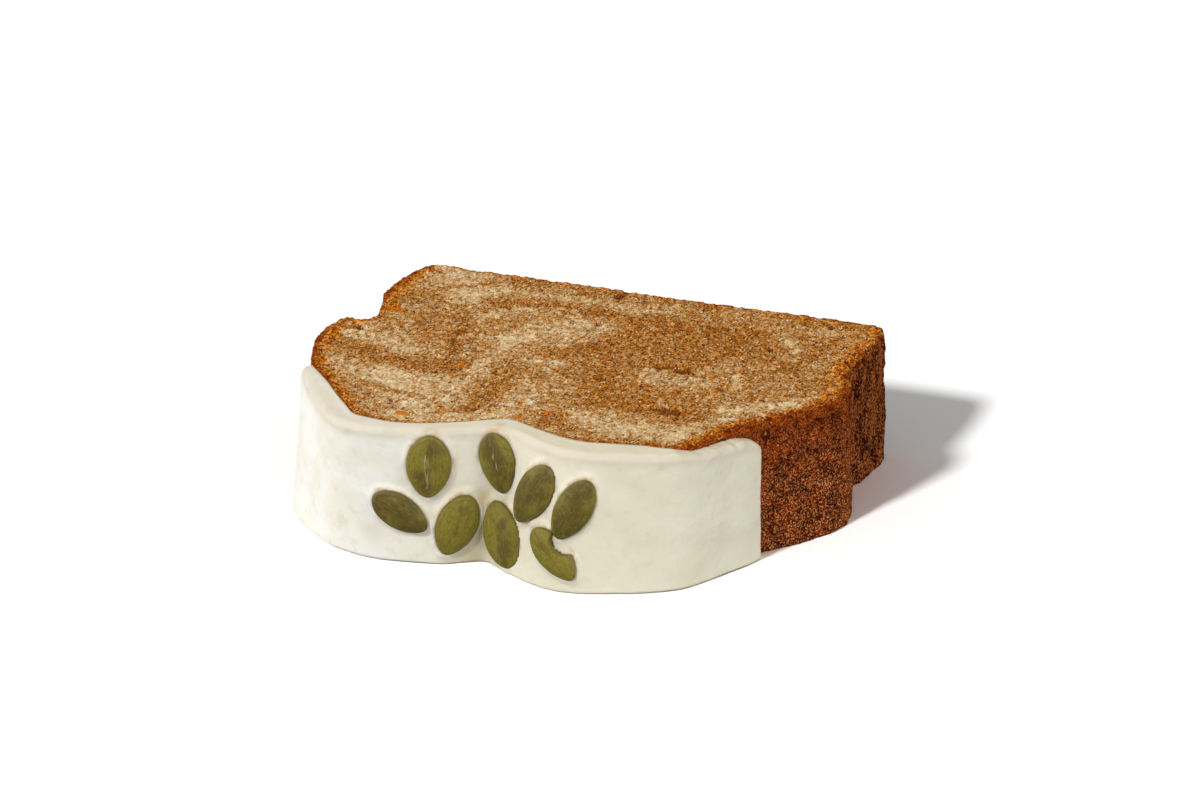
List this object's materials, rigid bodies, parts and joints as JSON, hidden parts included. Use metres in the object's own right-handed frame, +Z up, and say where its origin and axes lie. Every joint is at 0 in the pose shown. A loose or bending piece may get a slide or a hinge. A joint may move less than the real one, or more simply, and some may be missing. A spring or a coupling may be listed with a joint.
{
  "type": "slice of iced pumpkin bread",
  "caption": "Slice of marbled pumpkin loaf lying on its cut face, with thick cream icing round the dome and pumpkin seeds pressed into it.",
  "frame": {"origin": "under the middle of the whole slice, on the lower cut face that it lies on", "axes": "+X across the loaf to the right of the iced side, +Y from the iced dome towards the loaf's bottom crust, +Z up through the slice's thickness"},
  "size_m": [0.1102, 0.0876, 0.0291],
  "materials": {
    "crumb": "rough open crumb with browned crust",
    "icing": "smooth satin cream icing",
    "pumpkin_seed": "satin"
  },
  "bodies": {
    "root": {"bread_slice": "crumb", "icing": "icing", "seed_1": "pumpkin_seed", "seed_2": "pumpkin_seed", "seed_3": "pumpkin_seed", "seed_4": "pumpkin_seed", "seed_5": "pumpkin_seed", "seed_6": "pumpkin_seed", "seed_7": "pumpkin_seed", "seed_8": "pumpkin_seed"}
  },
  "joints": []
}
